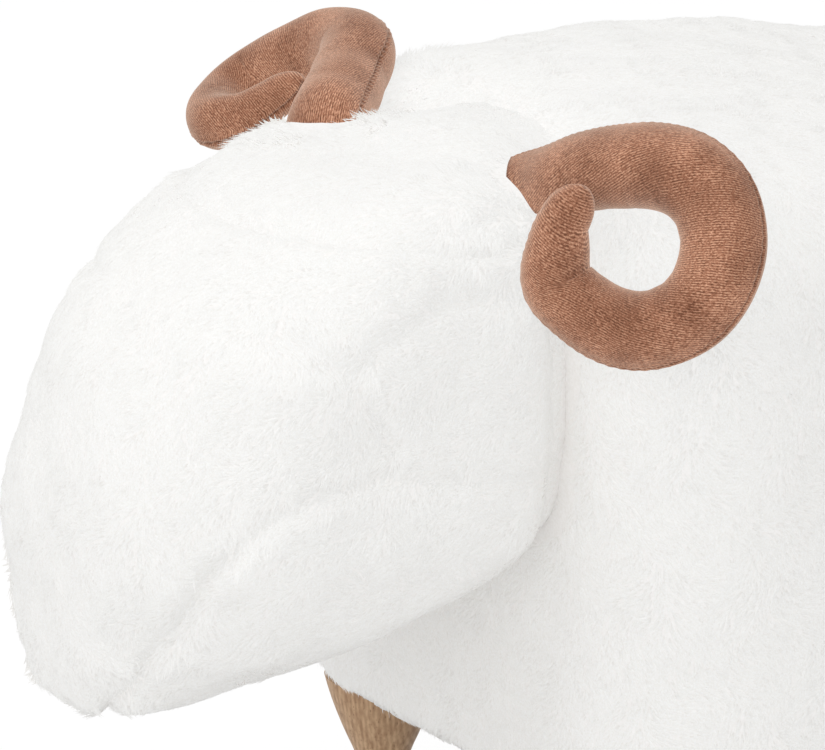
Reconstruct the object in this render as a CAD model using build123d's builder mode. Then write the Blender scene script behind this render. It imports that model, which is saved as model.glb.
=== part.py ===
from build123d import *
import os

os.makedirs("parts", exist_ok=True)

# Millimetres. The animal faces -Y, its left side is +X and it stands on Z = 0.
# The origin lies on the floor under the middle of the whole outline.

# Stuffed forms
body_length = 426.0
body_width = 340.0
body_height = 299.0
body_corner = 86.0
wall_lean = 2.0
crown_radius = 1100.0
crown_lead = 62.0
top_round = 68.0
bottom_round = 12.0
leg_height = 100.0
head_reach = 198.0
head_width = 206.0
tail_reach = 24.0
tail_width = 46.0
tail_drop = 92.0
horn_size = 125.0
horn_spread = 144.0
plush_thickness = 4.0
velvet_thickness = 2.5
soft_gap = 0.3

# Frame inside the body
base_thickness = 15.0
base_margin = 16.0
base_corner = 66.0
rail_thickness = 15.0
seat_board_thickness = 12.0
seat_board_depth = 77.0
box_side_margin = 50.0
box_end_margin = 53.0
block_size = 25.0
block_height = 60.0

# Underside
turned_under = 25.0
lining_thickness = 0.8
lining_margin = 7.0
staple_crown = 10.0
staple_wire = 1.0
staple_leg = 8.0
staple_edge = 6.0

# Legs and fastenings
leg_top_radius = 27.0
leg_side_inset = 60.0
leg_end_inset = 41.0
bolt_radius = 4.0
bolt_in_leg = 40.0
bolt_above_base = 0.5
thread_clearance = 0.1
nut_radius = 11.0
nut_flange = 1.5
nut_barrel_radius = 5.0
nut_barrel_length = 12.0
prong_reach = 9.0
prong_width = 2.0
prong_thickness = 1.0
prong_length = 6.0
glide_radius = 10.0
glide_height = 4.0
glide_nail_radius = 1.2
glide_nail_length = 12.0
screw_radius = 2.0
screw_length = 45.0
screw_head_radius = 4.0
screw_head_height = 3.0
screw_clearance = 0.15
screw_end_margin = 30.0

# Head outline at rising levels: height as a share of body_height, front and rear as shares of
# head_reach in front of the body, half width and sideways hang as shares of head_width.
head_shares = (
    (0.172, 0.870, 0.730, 0.085, -0.100),
    (0.200, 0.935, 0.585, 0.205, -0.088),
    (0.251, 0.965, 0.395, 0.305, -0.068),
    (0.330, 0.985, 0.110, 0.430, -0.036),
    (0.430, 1.000, -0.230, 0.488, -0.012),
    (0.535, 0.992, -0.308, 0.500, 0.000),
    (0.640, 0.945, -0.308, 0.495, 0.000),
    (0.740, 0.853, -0.308, 0.488, 0.000),
    (0.830, 0.708, -0.308, 0.460, 0.000),
    (0.900, 0.520, -0.308, 0.402, 0.000),
    (0.940, 0.320, -0.308, 0.310, 0.000),
    (0.953, 0.150, -0.308, 0.200, 0.000),
)
outline_corner_share = 0.85

# Tail outline at rising levels: height as a share of tail_drop, rear face as a share of
# tail_reach behind the body and half width as a share of tail_width.
tail_shares = (
    (0.00, 0.55, 0.20),
    (0.06, 0.84, 0.36),
    (0.22, 1.00, 0.49),
    (0.45, 0.98, 0.50),
    (0.68, 0.80, 0.44),
    (0.86, 0.48, 0.34),
    (1.00, 0.10, 0.18),
)
tail_top_share = 0.74

# Horn centre lines from the root on the head to the tip: X, Y, Z and radius, as shares of horn_size.
left_horn_shares = (
    (-0.040, 0.054, -0.030, 0.114),
    (0.062, 0.065, 0.023, 0.122),
    (0.188, 0.075, 0.067, 0.131),
    (0.336, 0.097, 0.107, 0.138),
    (0.494, 0.142, 0.142, 0.143),
    (0.649, 0.181, 0.131, 0.146),
    (0.757, 0.205, 0.053, 0.146),
    (0.825, 0.186, -0.060, 0.143),
    (0.843, 0.135, -0.176, 0.138),
    (0.811, 0.064, -0.271, 0.134),
    (0.734, -0.016, -0.332, 0.131),
    (0.627, -0.085, -0.337, 0.127),
    (0.522, -0.148, -0.295, 0.124),
    (0.452, -0.188, -0.210, 0.115),
    (0.435, -0.202, -0.099, 0.107),
    (0.451, -0.194, -0.008, 0.093),
    (0.473, -0.178, 0.055, 0.069),
    (0.489, -0.165, 0.098, 0.034),
)
right_horn_shares = (
    (0.098, -0.169, -0.027, 0.141),
    (-0.046, -0.033, 0.010, 0.141),
    (-0.216, 0.126, 0.047, 0.138),
    (-0.383, 0.270, 0.104, 0.136),
    (-0.589, 0.280, 0.087, 0.126),
    (-0.751, 0.201, 0.008, 0.114),
    (-0.865, 0.115, -0.079, 0.107),
    (-0.851, 0.000, -0.132, 0.103),
    (-0.747, -0.114, -0.154, 0.100),
    (-0.608, -0.160, -0.152, 0.100),
    (-0.521, -0.116, -0.120, 0.091),
    (-0.462, -0.055, -0.064, 0.079),
    (-0.408, 0.001, -0.002, 0.062),
    (-0.379, 0.038, 0.036, 0.031),
)
horn_root_share = 0.943

# Leg profile from its top down: height and radius as shares of leg_height and leg_top_radius.
leg_shares = (
    (0.930, 0.940),
    (0.854, 0.852),
    (0.777, 0.748),
    (0.699, 0.630),
    (0.620, 0.504),
    (0.550, 0.430),
    (0.470, 0.400),
    (0.360, 0.407),
    (0.220, 0.452),
    (0.100, 0.504),
)

# Places that follow from the sizes above
overall_length = head_reach + body_length + tail_reach
front_face = head_reach - overall_length / 2
rear_face = front_face + body_length
body_middle = (front_face + rear_face) / 2
underside = leg_height
base_bottom = underside + plush_thickness
base_top = base_bottom + base_thickness
seat_board_top = underside + body_height - seat_board_depth
seat_board_bottom = seat_board_top - seat_board_thickness
rail_height = seat_board_bottom - base_top
box_width = body_width - 2 * box_side_margin
box_length = body_length - 2 * box_end_margin
base_width = body_width - 2 * base_margin
base_length = body_length - 2 * base_margin
leg_x = body_width / 2 - leg_side_inset
leg_y = body_length / 2 - leg_end_inset
lining_bottom = underside - lining_thickness
leg_places = [(side * leg_x, body_middle + end * leg_y) for side in (1, -1) for end in (-1, 1)]
rail_x = (box_width - rail_thickness) / 2
screw_reach = box_length / 2 - screw_end_margin
screw_places = [
    (side * rail_x, body_middle + step * screw_reach)
    for side in (1, -1)
    for step in (-1, 0, 1)
]
staple_x = base_width / 2 - lining_margin - staple_edge
staple_y = base_length / 2 - lining_margin - staple_edge
side_staples = [
    (side * staple_x, body_middle + step * staple_y / 6)
    for side in (1, -1)
    for step in range(-3, 4)
]
end_staples = [
    (step * staple_x / 5, body_middle + end * staple_y)
    for end in (1, -1)
    for step in range(-2, 3)
]


def level_outlines(rows):
    """Rounded outlines stacked along Z: height, middle, width, depth and corner radius of each."""
    outlines = []
    for height, middle_x, middle_y, width, depth, corner in rows:
        with BuildSketch(Plane.XY.offset(height)) as outline:
            with Locations((middle_x, middle_y)):
                RectangleRounded(width, depth, corner)
        outlines.append(outline.sketch)
    return outlines


def body_form(inset):
    """The body's leaning walls under a crowned top, moved in by inset on every side."""
    with BuildPart() as form:
        with BuildSketch(Plane.XY.offset(underside + inset)):
            with Locations((0, body_middle)):
                RectangleRounded(body_width - 2 * inset, body_length - 2 * inset, body_corner - inset)
        extrude(amount=body_height, taper=wall_lean)
        with Locations((0, body_middle - crown_lead, underside + body_height - crown_radius)):
            Sphere(crown_radius - inset, mode=Mode.INTERSECT)
        crown = form.faces().filter_by(GeomType.SPHERE)
        fillet(crown.edges(), radius=top_round - inset)
        fillet(form.faces().sort_by(Axis.Z)[0].edges(), radius=bottom_round - inset)
    return form.part


def head_levels(inset):
    """The head's outlines, moved in by inset on every side but the neck."""
    low_share = head_shares[0][0]
    high_share = head_shares[-1][0]
    rows = []
    for height, front, rear, half, hang in head_shares:
        low = front_face - front * head_reach + inset
        high = front_face - rear * head_reach - inset
        width = 2 * half * head_width - 2 * inset
        rise = (height - low_share) / (high_share - low_share)
        level = underside + height * body_height + inset * (1 - 2 * rise)
        radius = outline_corner_share * min(width, high - low) / 2
        rows.append((level, hang * head_width, (low + high) / 2, width, high - low, radius))
    return level_outlines(rows)


def tail_levels(inset):
    """The tail's outlines, moved in by inset; the front of each lies inside the body."""
    bottom = underside + tail_top_share * body_height - tail_drop
    rows = []
    for height, rear, half in tail_shares:
        low = rear_face - tail_reach + inset
        high = rear_face + rear * tail_reach - inset
        width = 2 * half * tail_width - 2 * inset
        level = bottom + inset + height * (tail_drop - 2 * inset)
        radius = outline_corner_share * min(width, high - low) / 2
        rows.append((level, 0, (low + high) / 2, width, high - low, radius))
    return level_outlines(rows)


def horn_rings(shares, side, inset):
    """Round sections square to a horn's centre line, moved in by inset all round and at both ends."""
    root = Vector(side * horn_spread / 2, front_face, underside + horn_root_share * body_height)
    centres = [root + Vector(x, y, z) * horn_size for x, y, z, radius in shares]
    rings = []
    across = Vector(0, 0, 1).cross(centres[1] - centres[0]).normalized()
    last = len(centres) - 1
    for index in range(last + 1):
        along = (centres[min(index + 1, last)] - centres[max(index - 1, 0)]).normalized()
        across = (across - along * across.dot(along)).normalized()
        ahead = {0: inset, last: -inset}.get(index, 0)
        with BuildSketch(Plane(origin=centres[index] + along * ahead, x_dir=across, z_dir=along)) as ring:
            Circle(shares[index][3] * horn_size - inset)
        rings.append(ring.sketch)
    return rings


def upright_box(middle_x, middle_y, bottom, width, depth, height, mode=Mode.ADD):
    """A box standing on the level bottom."""
    with Locations((middle_x, middle_y, bottom)):
        Box(width, depth, height, align=(Align.CENTER, Align.CENTER, Align.MIN), mode=mode)


def upright_rods(places, bottom, radius, height, mode=Mode.ADD):
    """Round rods standing on the level bottom at each place."""
    with Locations([(x, y, bottom) for x, y in places]):
        Cylinder(radius, height, align=(Align.CENTER, Align.CENTER, Align.MIN), mode=mode)


def staple_prongs(bottom, slack, mode=Mode.ADD):
    """The two prongs of every staple, grown by slack on each side."""
    wire = staple_wire + 2 * slack
    reach = staple_leg + 2 * slack
    offset = (staple_crown - staple_wire) / 2
    places = [(x, y + end * offset, bottom) for x, y in side_staples for end in (-1, 1)]
    places += [(x + end * offset, y, bottom) for x, y in end_staples for end in (-1, 1)]
    with Locations(places):
        Box(wire, wire, reach, align=(Align.CENTER, Align.CENTER, Align.MIN), mode=mode)


def nut_prongs(slack, mode=Mode.ADD):
    """The four prongs of every tee nut, grown by slack on each side."""
    for x, y in leg_places:
        for turn in range(4):
            with Locations(Location((x, y, base_top - prong_length - slack), (0, 0, 90 * turn))):
                with Locations((prong_reach, 0)):
                    Box(
                        prong_thickness + 2 * slack,
                        prong_width + 2 * slack,
                        prong_length + slack,
                        align=(Align.CENTER, Align.CENTER, Align.MIN),
                        mode=mode,
                    )


foam_inset = plush_thickness + soft_gap
foam_body = body_form(foam_inset)
cleared_body = body_form(-soft_gap)
with BuildPart() as cleared_head_form:
    loft(head_levels(-soft_gap))
cleared_head = cleared_head_form.part

# Plush cover of the body, turned under all round the bottom edge
with BuildPart() as body_cover:
    add(body_form(0))
    add(body_form(plush_thickness), mode=Mode.SUBTRACT)
    with BuildSketch(Plane.XY.offset(underside)):
        with Locations((0, body_middle)):
            RectangleRounded(
                base_width - 2 * turned_under,
                base_length - 2 * turned_under,
                base_corner - turned_under,
            )
    extrude(amount=plush_thickness, mode=Mode.SUBTRACT)
    upright_rods(leg_places, underside, bolt_radius + thread_clearance, plush_thickness, Mode.SUBTRACT)
    staple_prongs(lining_bottom, thread_clearance, Mode.SUBTRACT)
body_cover.part.label = "body_cover"
export_step(body_cover.part, "parts/body_cover.step")

# Wooden frame
with BuildPart() as base_board:
    with BuildSketch(Plane.XY.offset(base_bottom)):
        with Locations((0, body_middle)):
            RectangleRounded(base_width, base_length, base_corner)
    extrude(amount=base_thickness)
    upright_rods(leg_places, base_bottom, nut_barrel_radius + thread_clearance, base_thickness, Mode.SUBTRACT)
    upright_rods(screw_places, base_bottom, screw_radius + screw_clearance, base_thickness, Mode.SUBTRACT)
    upright_rods(
        screw_places,
        base_bottom,
        screw_head_radius + screw_clearance,
        screw_head_height + screw_clearance,
        Mode.SUBTRACT,
    )
    nut_prongs(thread_clearance, Mode.SUBTRACT)
    staple_prongs(lining_bottom, thread_clearance, Mode.SUBTRACT)
base_board.part.label = "base_board"
export_step(base_board.part, "parts/base_board.step")

with BuildPart() as seat_board:
    upright_box(0, body_middle, seat_board_bottom, box_width, box_length, seat_board_thickness)
    upright_rods(
        screw_places,
        seat_board_bottom,
        screw_radius + screw_clearance,
        seat_board_thickness,
        Mode.SUBTRACT,
    )
    upright_rods(
        screw_places,
        seat_board_top - screw_head_height - screw_clearance,
        screw_head_radius + screw_clearance,
        screw_head_height + screw_clearance,
        Mode.SUBTRACT,
    )
seat_board.part.label = "seat_board"
export_step(seat_board.part, "parts/seat_board.step")

for name, side in (("side_rail_left", 1), ("side_rail_right", -1)):
    rail_screws = [place for place in screw_places if place[0] * side > 0]
    with BuildPart() as side_rail:
        upright_box(side * rail_x, body_middle, base_top, rail_thickness, box_length, rail_height)
        upright_rods(
            rail_screws,
            base_top,
            screw_radius + thread_clearance,
            screw_length - base_thickness + screw_clearance,
            Mode.SUBTRACT,
        )
        upright_rods(
            rail_screws,
            seat_board_top - screw_length - screw_clearance,
            screw_radius + thread_clearance,
            screw_length - seat_board_thickness + screw_clearance,
            Mode.SUBTRACT,
        )
    side_rail.part.label = name
    export_step(side_rail.part, f"parts/{name}.step")

end_width = box_width - 2 * rail_thickness
for name, end in (("end_rail_front", -1), ("end_rail_rear", 1), ("centre_rib", 0)):
    with BuildPart() as cross_board:
        upright_box(
            0,
            body_middle + end * (box_length - rail_thickness) / 2,
            base_top,
            end_width,
            rail_thickness,
            rail_height,
        )
    cross_board.part.label = name
    export_step(cross_board.part, f"parts/{name}.step")

with BuildPart() as corner_blocks:
    block_x = (end_width - block_size) / 2
    block_y = (box_length - block_size) / 2 - rail_thickness
    for side in (1, -1):
        for end in (1, -1):
            upright_box(
                side * block_x,
                body_middle + end * block_y,
                base_top,
                block_size,
                block_size,
                block_height,
            )
corner_blocks.part.label = "corner_blocks"
export_step(corner_blocks.part, "parts/corner_blocks.step")

with BuildPart() as frame_screws:
    upright_rods(screw_places, base_bottom, screw_radius, screw_length)
    upright_rods(screw_places, base_bottom, screw_head_radius, screw_head_height)
    upright_rods(screw_places, seat_board_top - screw_length, screw_radius, screw_length)
    upright_rods(screw_places, seat_board_top - screw_head_height, screw_head_radius, screw_head_height)
frame_screws.part.label = "frame_screws"
export_step(frame_screws.part, "parts/frame_screws.step")

# Foam between the frame and the cover
foam_split = seat_board_top + soft_gap
foam_low = base_bottom + soft_gap
with BuildPart() as seat_foam:
    add(foam_body)
    upright_box(0, body_middle, foam_split, body_width, overall_length, body_height, Mode.INTERSECT)
seat_foam.part.label = "seat_foam"
export_step(seat_foam.part, "parts/seat_foam.step")

foam_reach = box_length / 2 + soft_gap
foam_side = box_width / 2 + soft_gap
foam_height = foam_split - soft_gap - foam_low
side_depth = body_width / 2 - foam_side
end_depth = body_length / 2 - foam_reach
foam_blocks = (
    ("foam_left", foam_side + side_depth / 2, 0, side_depth, overall_length),
    ("foam_right", -foam_side - side_depth / 2, 0, side_depth, overall_length),
    ("foam_front", 0, -foam_reach - end_depth / 2, 2 * (foam_side - soft_gap), end_depth),
    ("foam_rear", 0, foam_reach + end_depth / 2, 2 * (foam_side - soft_gap), end_depth),
)
for name, offset_x, offset_y, width, depth in foam_blocks:
    with BuildPart() as foam:
        add(foam_body)
        upright_box(offset_x, body_middle + offset_y, foam_low, width, depth, foam_height, Mode.INTERSECT)
        with BuildSketch(Plane.XY.offset(foam_low)):
            with Locations((0, body_middle)):
                RectangleRounded(base_width + 2 * soft_gap, base_length + 2 * soft_gap, base_corner)
        extrude(amount=base_thickness, mode=Mode.SUBTRACT)
        upright_rods(
            leg_places,
            base_top,
            nut_radius + soft_gap,
            nut_flange + 2 * soft_gap,
            Mode.SUBTRACT,
        )
    foam.part.label = name
    export_step(foam.part, f"parts/{name}.step")

# Head, tail and horns: a sewn cover and its filling, each cut back to what it is sewn against
stuffed_forms = (("head", head_levels), ("tail", tail_levels))
for name, form_levels in stuffed_forms:
    with BuildPart() as cover:
        loft(form_levels(0))
        loft(form_levels(plush_thickness), mode=Mode.SUBTRACT)
        add(cleared_body, mode=Mode.SUBTRACT)
    cover.part.label = f"{name}_cover"
    export_step(cover.part, f"parts/{name}_cover.step")
    with BuildPart() as filling:
        loft(form_levels(plush_thickness + soft_gap))
        add(cleared_body, mode=Mode.SUBTRACT)
    filling.part.label = f"{name}_filling"
    export_step(filling.part, f"parts/{name}_filling.step")

horn_forms = (("horn_left", left_horn_shares, 1), ("horn_right", right_horn_shares, -1))
for name, shares, side in horn_forms:
    with BuildPart() as horn_cover:
        loft(horn_rings(shares, side, 0))
        loft(horn_rings(shares, side, velvet_thickness), mode=Mode.SUBTRACT)
        add(cleared_head, mode=Mode.SUBTRACT)
        add(cleared_body, mode=Mode.SUBTRACT)
    horn_cover.part.label = f"{name}_cover"
    export_step(horn_cover.part, f"parts/{name}_cover.step")
    with BuildPart() as horn_filling:
        loft(horn_rings(shares, side, velvet_thickness + soft_gap))
        add(cleared_head, mode=Mode.SUBTRACT)
        add(cleared_body, mode=Mode.SUBTRACT)
    horn_filling.part.label = f"{name}_filling"
    export_step(horn_filling.part, f"parts/{name}_filling.step")

# Lining under the body and the staples that hold it
with BuildPart() as lining:
    with BuildSketch(Plane.XY.offset(lining_bottom)):
        with Locations((0, body_middle)):
            RectangleRounded(
                base_width - 2 * lining_margin,
                base_length - 2 * lining_margin,
                base_corner - lining_margin,
            )
    extrude(amount=lining_thickness)
    upright_rods(leg_places, lining_bottom, bolt_radius + thread_clearance, lining_thickness, Mode.SUBTRACT)
    staple_prongs(lining_bottom - thread_clearance, thread_clearance, Mode.SUBTRACT)
lining.part.label = "lining"
export_step(lining.part, "parts/lining.step")

with BuildPart() as staples:
    staple_prongs(lining_bottom, 0)
    with Locations([(x, y, lining_bottom) for x, y in side_staples]):
        Box(staple_wire, staple_crown, staple_wire, align=(Align.CENTER, Align.CENTER, Align.MAX))
    with Locations([(x, y, lining_bottom) for x, y in end_staples]):
        Box(staple_crown, staple_wire, staple_wire, align=(Align.CENTER, Align.CENTER, Align.MAX))
staples.part.label = "staples"
export_step(staples.part, "parts/staples.step")

# Turned legs, each on a glide
leg_names = ("leg_front_left", "leg_rear_left", "leg_front_right", "leg_rear_right")
bolt_bottom = lining_bottom - bolt_in_leg
for name, place in zip(leg_names, leg_places):
    with BuildPart() as leg:
        with BuildSketch(Plane.XZ) as half_profile:
            with BuildLine():
                side_points = [(leg_top_radius, lining_bottom)]
                for height, radius in leg_shares:
                    side_points.append((radius * leg_top_radius, height * leg_height))
                side_points += [(leg_top_radius * leg_shares[-1][1], glide_height)]
                Spline(*side_points)
                Polyline(side_points[-1], (0, glide_height), (0, lining_bottom), side_points[0])
            make_face()
        revolve(axis=Axis.Z)
        upright_rods([(0, 0)], bolt_bottom, bolt_radius + thread_clearance, bolt_in_leg, Mode.SUBTRACT)
        upright_rods(
            [(0, 0)],
            glide_height,
            glide_nail_radius + thread_clearance,
            glide_nail_length + thread_clearance,
            Mode.SUBTRACT,
        )
    placed_leg = leg.part.moved(Location((place[0], place[1], 0)))
    placed_leg.label = name
    export_step(placed_leg, f"parts/{name}.step")

with BuildPart() as hanger_bolts:
    upright_rods(leg_places, bolt_bottom, bolt_radius, base_top + bolt_above_base - bolt_bottom)
hanger_bolts.part.label = "hanger_bolts"
export_step(hanger_bolts.part, "parts/hanger_bolts.step")

with BuildPart() as tee_nuts:
    upright_rods(leg_places, base_top, nut_radius, nut_flange)
    upright_rods(leg_places, base_top - nut_barrel_length, nut_barrel_radius, nut_barrel_length)
    nut_prongs(0)
    upright_rods(
        leg_places,
        base_top - nut_barrel_length,
        bolt_radius + thread_clearance,
        nut_barrel_length + nut_flange,
        Mode.SUBTRACT,
    )
tee_nuts.part.label = "tee_nuts"
export_step(tee_nuts.part, "parts/tee_nuts.step")

with BuildPart() as glides:
    upright_rods(leg_places, 0, glide_radius, glide_height)
    upright_rods(leg_places, glide_height, glide_nail_radius, glide_nail_length)
glides.part.label = "glides"
export_step(glides.part, "parts/glides.step")
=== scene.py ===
import math

import bpy
import numpy as np
from mathutils import Matrix, Vector


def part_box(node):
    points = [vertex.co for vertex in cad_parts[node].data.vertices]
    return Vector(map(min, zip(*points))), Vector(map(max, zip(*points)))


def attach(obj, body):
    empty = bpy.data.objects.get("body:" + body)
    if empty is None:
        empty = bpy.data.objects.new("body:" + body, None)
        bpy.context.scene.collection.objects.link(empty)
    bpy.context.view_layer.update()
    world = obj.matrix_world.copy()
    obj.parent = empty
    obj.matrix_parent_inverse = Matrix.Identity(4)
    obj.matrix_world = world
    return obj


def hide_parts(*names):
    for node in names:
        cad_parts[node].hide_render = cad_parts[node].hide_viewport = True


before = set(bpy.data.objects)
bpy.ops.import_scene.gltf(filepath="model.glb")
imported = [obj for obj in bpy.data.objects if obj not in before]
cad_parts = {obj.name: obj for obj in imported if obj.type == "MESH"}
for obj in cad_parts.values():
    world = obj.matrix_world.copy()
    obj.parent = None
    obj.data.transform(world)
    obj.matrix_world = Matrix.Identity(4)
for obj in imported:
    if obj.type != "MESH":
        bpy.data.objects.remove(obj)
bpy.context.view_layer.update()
scene = bpy.context.scene

# Metres throughout. The animal faces -Y, its left side is +X and it stands on Z = 0.
MM = 0.001

# Stuffed forms, as in the CAD source
body_corner = 86 * MM
wall_lean = math.radians(2.0)
crown_radius = 1100 * MM
crown_lead = 62 * MM
top_round = 68 * MM
head_reach = 198 * MM
head_width = 206 * MM
outline_corner_share = 0.85
tail_reach = 24 * MM
tail_width = 46 * MM
tail_drop = 92 * MM
tail_top_share = 0.74
horn_size = 125 * MM
horn_spread = 144 * MM
horn_root_share = 0.943

body_low, body_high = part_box("body_cover")
underside = body_low.z
body_height = body_high.z - underside
front_face = body_low.y
rear_face = body_high.y
body_middle = (front_face + rear_face) / 2
half_width = body_high.x
half_length = (rear_face - front_face) / 2

# The body's lower edge is rounder than in the CAD source, as the sewing draws it in
bottom_round = 17 * MM

# Head: height as a share of body_height, front and rear as shares of head_reach in front of the
# body, half width and sideways hang as shares of head_width.
head_shares = np.array((
    (0.172, 0.870, 0.730, 0.085, -0.100),
    (0.200, 0.935, 0.585, 0.205, -0.088),
    (0.251, 0.965, 0.395, 0.305, -0.068),
    (0.330, 0.985, 0.110, 0.430, -0.036),
    (0.430, 1.000, -0.230, 0.488, -0.012),
    (0.535, 0.992, -0.308, 0.500, 0.000),
    (0.640, 0.945, -0.308, 0.495, 0.000),
    (0.740, 0.853, -0.308, 0.488, 0.000),
    (0.830, 0.708, -0.308, 0.460, 0.000),
    (0.900, 0.520, -0.308, 0.402, 0.000),
    (0.940, 0.320, -0.308, 0.310, 0.000),
    (0.953, 0.150, -0.308, 0.200, 0.000),
))

# Tail: height as a share of tail_drop, rear face as a share of tail_reach, half width of tail_width.
tail_shares = np.array((
    (0.00, 0.55, 0.20),
    (0.06, 0.84, 0.36),
    (0.22, 1.00, 0.49),
    (0.45, 0.98, 0.50),
    (0.68, 0.80, 0.44),
    (0.86, 0.48, 0.34),
    (1.00, 0.10, 0.18),
))

# Horn centre lines from the root to the tip: X, Y, Z and radius, as shares of horn_size. The roots reach
# a little further into the head's pile than in the CAD source.
left_horn_shares = np.array((
    (-0.076, -0.022, -0.046, 0.104),
    (0.103, 0.033, 0.031, 0.118),
    (0.208, 0.062, 0.071, 0.131),
    (0.336, 0.097, 0.107, 0.138),
    (0.494, 0.142, 0.142, 0.143),
    (0.649, 0.181, 0.131, 0.146),
    (0.757, 0.205, 0.053, 0.146),
    (0.825, 0.186, -0.060, 0.143),
    (0.843, 0.135, -0.176, 0.138),
    (0.811, 0.064, -0.271, 0.134),
    (0.734, -0.016, -0.332, 0.131),
    (0.629, -0.086, -0.344, 0.129),
    (0.522, -0.150, -0.295, 0.124),
    (0.441, -0.204, -0.213, 0.119),
    (0.435, -0.202, -0.099, 0.105),
    (0.453, -0.190, -0.007, 0.086),
    (0.482, -0.164, 0.058, 0.063),
    (0.505, -0.138, 0.106, 0.031),
))
right_horn_shares = np.array((
    (0.178, -0.240, -0.110, 0.136),
    (0.098, -0.169, -0.027, 0.141),
    (-0.046, -0.033, 0.010, 0.141),
    (-0.216, 0.126, 0.047, 0.138),
    (-0.383, 0.270, 0.104, 0.136),
    (-0.589, 0.280, 0.087, 0.126),
    (-0.751, 0.201, 0.008, 0.114),
    (-0.865, 0.115, -0.079, 0.107),
    (-0.851, 0.000, -0.132, 0.103),
    (-0.747, -0.114, -0.154, 0.100),
    (-0.608, -0.160, -0.152, 0.100),
    (-0.521, -0.116, -0.120, 0.091),
    (-0.462, -0.055, -0.064, 0.079),
    (-0.408, 0.001, -0.002, 0.062),
    (-0.379, 0.038, 0.036, 0.031),
))

# The photograph's camera, and the way in plan that points to the picture's left edge, sideways and ahead
camera_place = np.array((1.9428, -1.4015, 0.9890))
camera_target = np.array((0.0179, -0.1514, 0.2874))
photo_width = 825
photo_height = 750
focal_pixels = 5581.4
sensor_width = 36.0
left_edge_aside = 0.545
left_edge_ahead = 0.839

# Seams and folds of the head as the photograph shows them: pixel lines, depth and half breadth
brow_seam_px = ((205, 215), (262, 231), (330, 243), (380, 252), (430, 257), (510, 255))
mouth_seam_px = ((100, 730), (114, 708), (140, 680), (175, 640), (208, 592), (238, 553))
lip_seam_px = ((238, 553), (244, 545), (272, 525), (300, 511), (335, 497), (370, 486), (400, 479))
jaw_seam_px = ((400, 479), (450, 484), (500, 484), (545, 480))
cheek_fold_px = ((200, 318), (245, 324), (290, 340), (340, 368), (378, 402), (404, 448))
temple_fold_px = ((360, 372), (400, 340), (440, 312), (520, 290))
folds = (
    (brow_seam_px, 2.6 * MM, 2.6 * MM),
    (mouth_seam_px, 4.2 * MM, 4.2 * MM),
    (lip_seam_px, 2.4 * MM, 4.6 * MM),
    (jaw_seam_px, 1.8 * MM, 5.0 * MM),
    (cheek_fold_px, 2.2 * MM, 6.0 * MM),
    (temple_fold_px, 1.6 * MM, 6.0 * MM),
)

# How far the seat's top stands over or under the CAD form, in millimetres, by pixel across the picture
seat_top_rise = np.array((
    (250.0, 0.0), (385.0, 7.5), (432.0, 4.2), (480.0, 3.5), (560.0, 2.8),
    (620.0, 0.6), (690.0, -1.2), (770.0, -6.0), (830.0, -9.0), (950.0, -10.0),
))

# How far the head's front stands over or under the CAD form, in millimetres, by share of body_height
head_front_rise = np.array((
    (0.172, 2.0), (0.212, -1.6), (0.251, -1.0), (0.331, -3.0), (0.450, -3.0), (0.569, -4.3), (0.649, -4.5),
    (0.728, -3.6), (0.768, -2.2), (0.807, 0.8), (0.847, 4.4), (0.887, 6.6), (0.953, 4.6),
))

# Where the head meets the body it is drawn in: how deep, over what distance from the body, and from what
# share of body_height up
neck_depth = 12 * MM
neck_breadth = 14 * MM
neck_low_share = 0.28
neck_fade_share = 0.12

# The unevenness of the stuffing, as height, pitch and seed of each ripple, and how much plumper the head's
# top and its end caps are
body_ripples = ((0.8 * MM, 95 * MM, 11), (0.2 * MM, 24 * MM, 12))
body_ripple_limits = (-1.4 * MM, 2.4 * MM)
body_fine_ripples = ((0.1 * MM, 9 * MM, 13),)
head_ripples = ((1.0 * MM, 70 * MM, 21), (0.24 * MM, 24 * MM, 22), (0.1 * MM, 9 * MM, 23))
head_top_rise = 3.0 * MM
head_cap_depth = 2 * MM

# Grids of the skins: where the body's rays start as a share of its height, rows and points round each
# skin, rows of a cap and of a horn's tip, and points of a horn's line where only its distance is asked
body_centre_share = 0.45
body_grid = (200, 400)
head_grid = (170, 300)
tail_grid = (40, 64)
horn_grid = (420, 120)
cap_rows = 8
tip_rows = 10
line_points = 90

# Horns: the rounding at the tip as a share of horn_size, how much the root widens and flattens, the rim
# seam's groove, lips and stitches, the puckers inside the curl, with their depths in millimetres and the
# rest as shares of the length, and the swell of the filling. Then, for each horn, the way its curl faces,
# the turn of its rim seam from the outermost line by share of its length, and the way its ribs run by
# share of its length.
tip_round_share = 0.13
tip_least_share = 0.03
root_widening = 0.1
root_pressing = 0.55
root_press_share = 0.07
root_line_share = 0.004
lip_height = 0.45 * MM
lip_place = 1.7 * MM
lip_breadth = 1.0 * MM
groove_depth = 1.0 * MM
groove_breadth = 0.7 * MM
stitch_pitch = 3.6 * MM
stitch_mean = 0.85
stitch_swing = 0.3
pucker_seeds = {1: 31, -1: 37}
pucker_count = 13
pucker_places = (0.14, 0.86)
pucker_breadths = (0.008, 0.016)
pucker_depths = (0.15, 0.5)
pucker_sway = 0.02
pucker_fade = 0.65
# How much the puckers count in the horns' painted crease shade, and the depth of a crease at which that
# painted shade is full
pucker_shade = 0.7
crease_depth = 1.2 * MM
swell_height = 0.15 * MM
swell_waves = 31
fine_swell_height = 0.1 * MM
fine_swell_waves = 67
left_face = np.array((0.50, -0.76, 0.41))
right_face = np.array((-0.12, -0.385, 0.917))
left_seam_course = np.array(((0.0, 0.11), (1.0, 0.11)))
right_seam_course = np.array(((0.0, 0.16), (0.45, 0.16), (0.75, -0.3), (1.0, -0.34)))
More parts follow.
